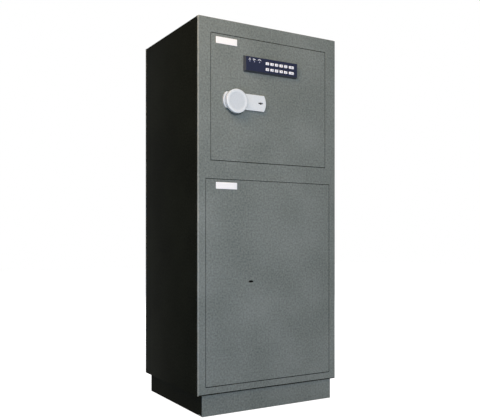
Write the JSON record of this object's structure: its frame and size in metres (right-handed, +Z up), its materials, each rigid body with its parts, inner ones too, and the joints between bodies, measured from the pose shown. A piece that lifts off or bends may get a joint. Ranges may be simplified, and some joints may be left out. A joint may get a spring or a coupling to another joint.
{
  "type": "drop safe",
  "caption": "Floor-standing drop safe: keypad-locked upper door with a disc handle, and a deposit drawer inside that drops into the key-locked lower compartment.",
  "frame": {"origin": "on the floor, in the middle of the width and of the depth over the handle knob", "axes": "+Z up, -Y out of the front with the doors, +X to the right as seen from the front"},
  "size_m": [0.45, 0.39, 1.057],
  "materials": {
    "front_paint": "fine textured powder coat, mid grey, satin",
    "side_paint": "fine textured powder coat, near black, satin",
    "handle_metal": "satin die-cast, silver",
    "keypad_plastic": "moulded, dark navy, satin",
    "key_plastic": "moulded, white, dark digits",
    "label_plate": "smooth white, blank",
    "zinc_steel": "zinc-plated sheet and bar",
    "bolt_steel": "turned, bright",
    "battery_plastic": "moulded, black",
    "circuit_board": "green solder mask"
  },
  "bodies": {
    "cabinet": {"front_frame": "front_paint", "left_side_panel": "side_paint", "right_side_panel": "side_paint", "top_panel": "side_paint", "back_panel": "side_paint", "base_panel": "front_paint", "divider_floor": "front_paint", "plinth_front": "front_paint", "plinth_back": "side_paint", "plinth_left": "side_paint", "plinth_right": "side_paint", "deposit_hood": "zinc_steel", "left_runner": "zinc_steel", "right_runner": "zinc_steel", "drop_chute": "zinc_steel", "upper_hinge_pin_top": "bolt_steel", "upper_hinge_pin_bottom": "bolt_steel", "lower_hinge_pin_top": "bolt_steel", "lower_hinge_pin_bottom": "bolt_steel"},
    "deposit_drawer": {"deposit_drawer": "front_paint", "drawer_pull": "handle_metal"},
    "upper_door": {"upper_door_panel": "front_paint", "upper_label_plate": "label_plate", "handle_plate": "handle_metal", "keypad_housing": "keypad_plastic", "keypad_board": "circuit_board", "electronic_lock_case": "zinc_steel", "battery_box": "battery_plastic", "upper_dog_bar": "zinc_steel", "upper_boltwork_cover": "front_paint"},
    "handle": {"handle_knob": "handle_metal", "handle_spindle": "zinc_steel", "drive_cam": "zinc_steel"},
    "upper_bolts": {"upper_bolt_bar": "zinc_steel", "upper_bolt_1": "bolt_steel", "upper_bolt_2": "bolt_steel"},
    "electronic_lock_bolt": {"electronic_lock_bolt": "bolt_steel"},
    "emergency_key_drum": {"emergency_key_drum": "bolt_steel"},
    "lower_door": {"lower_door_panel": "front_paint", "lower_label_plate": "label_plate", "lower_lock_case": "zinc_steel", "lower_dog_bar": "zinc_steel", "lower_boltwork_cover": "front_paint"},
    "lower_bolts": {"lower_bolt_bar": "zinc_steel", "lower_bolt_1": "bolt_steel", "lower_bolt_2": "bolt_steel", "lower_bolt_3": "bolt_steel"},
    "lower_key_drum": {"lower_key_drum": "bolt_steel"},
    "digit_key_0": {"digit_key_0": "key_plastic"},
    "digit_key_1": {"digit_key_1": "key_plastic"},
    "digit_key_2": {"digit_key_2": "key_plastic"},
    "digit_key_3": {"digit_key_3": "key_plastic"},
    "digit_key_4": {"digit_key_4": "key_plastic"},
    "digit_key_5": {"digit_key_5": "key_plastic"},
    "digit_key_6": {"digit_key_6": "key_plastic"},
    "digit_key_7": {"digit_key_7": "key_plastic"},
    "digit_key_8": {"digit_key_8": "key_plastic"},
    "digit_key_9": {"digit_key_9": "key_plastic"},
    "function_key_1": {"function_key_1": "key_plastic"},
    "function_key_2": {"function_key_2": "key_plastic"}
  },
  "joints": [
    {"name": "upper_door_swing", "type": "hinge", "parent": "cabinet", "child": "upper_door", "pos_m": [0.1668, -0.17, 0.8474], "axis": [0, 0, 1], "range_deg": [0, 100]},
    {"name": "lower_door_swing", "type": "hinge", "parent": "cabinet", "child": "lower_door", "pos_m": [0.1816, -0.17, 0.3538], "axis": [0, 0, 1], "range_deg": [0, 100]},
    {"name": "upper_bolt_throw", "type": "slide", "parent": "upper_door", "child": "upper_bolts", "axis": [-1, 0, 0], "range_m": [0, 0.02]},
    {"name": "handle_turn", "type": "hinge", "parent": "upper_door", "child": "handle", "pos_m": [-0.1168, -0.175, 0.8392], "axis": [0, -1, 0], "range_deg": [0, 60]},
    {"name": "electronic_lock_throw", "type": "slide", "parent": "upper_door", "child": "electronic_lock_bolt", "axis": [-1, 0, 0], "range_m": [0, 0.007]},
    {"name": "emergency_key_turn", "type": "hinge", "parent": "upper_door", "child": "emergency_key_drum", "pos_m": [-0.0378, -0.16, 0.842], "axis": [0, -1, 0], "range_deg": [0, 90]},
    {"name": "lower_bolt_throw", "type": "slide", "parent": "lower_door", "child": "lower_bolts", "axis": [-1, 0, 0], "range_m": [0, 0.016]},
    {"name": "lower_key_turn", "type": "hinge", "parent": "lower_door", "child": "lower_key_drum", "pos_m": [-0.064, -0.155, 0.3535], "axis": [0, -1, 0], "range_deg": [0, 90]},
    {"name": "deposit_drawer_slide", "type": "slide", "parent": "cabinet", "child": "deposit_drawer", "axis": [0, -1, 0], "range_m": [0, 0.095]},
    {"name": "digit_key_0_press", "type": "slide", "parent": "upper_door", "child": "digit_key_0", "axis": [0, 1, 0], "range_m": [0, 0.001], "stiffness_N_per_m": 600},
    {"name": "digit_key_1_press", "type": "slide", "parent": "upper_door", "child": "digit_key_1", "axis": [0, 1, 0], "range_m": [0, 0.001], "stiffness_N_per_m": 600},
    {"name": "digit_key_2_press", "type": "slide", "parent": "upper_door", "child": "digit_key_2", "axis": [0, 1, 0], "range_m": [0, 0.001], "stiffness_N_per_m": 600},
    {"name": "digit_key_3_press", "type": "slide", "parent": "upper_door", "child": "digit_key_3", "axis": [0, 1, 0], "range_m": [0, 0.001], "stiffness_N_per_m": 600},
    {"name": "digit_key_4_press", "type": "slide", "parent": "upper_door", "child": "digit_key_4", "axis": [0, 1, 0], "range_m": [0, 0.001], "stiffness_N_per_m": 600},
    {"name": "digit_key_5_press", "type": "slide", "parent": "upper_door", "child": "digit_key_5", "axis": [0, 1, 0], "range_m": [0, 0.001], "stiffness_N_per_m": 600},
    {"name": "digit_key_6_press", "type": "slide", "parent": "upper_door", "child": "digit_key_6", "axis": [0, 1, 0], "range_m": [0, 0.001], "stiffness_N_per_m": 600},
    {"name": "digit_key_7_press", "type": "slide", "parent": "upper_door", "child": "digit_key_7", "axis": [0, 1, 0], "range_m": [0, 0.001], "stiffness_N_per_m": 600},
    {"name": "digit_key_8_press", "type": "slide", "parent": "upper_door", "child": "digit_key_8", "axis": [0, 1, 0], "range_m": [0, 0.001], "stiffness_N_per_m": 600},
    {"name": "digit_key_9_press", "type": "slide", "parent": "upper_door", "child": "digit_key_9", "axis": [0, 1, 0], "range_m": [0, 0.001], "stiffness_N_per_m": 600},
    {"name": "function_key_1_press", "type": "slide", "parent": "upper_door", "child": "function_key_1", "axis": [0, 1, 0], "range_m": [0, 0.001], "stiffness_N_per_m": 600},
    {"name": "function_key_2_press", "type": "slide", "parent": "upper_door", "child": "function_key_2", "axis": [0, 1, 0], "range_m": [0, 0.001], "stiffness_N_per_m": 600}
  ],
  "couplings": [
    {"joint": "handle_turn", "follows": "upper_bolt_throw", "rad_per_m": 52.35},
    {"joint": "lower_key_turn", "follows": "lower_bolt_throw", "rad_per_m": 98.1}
  ]
}
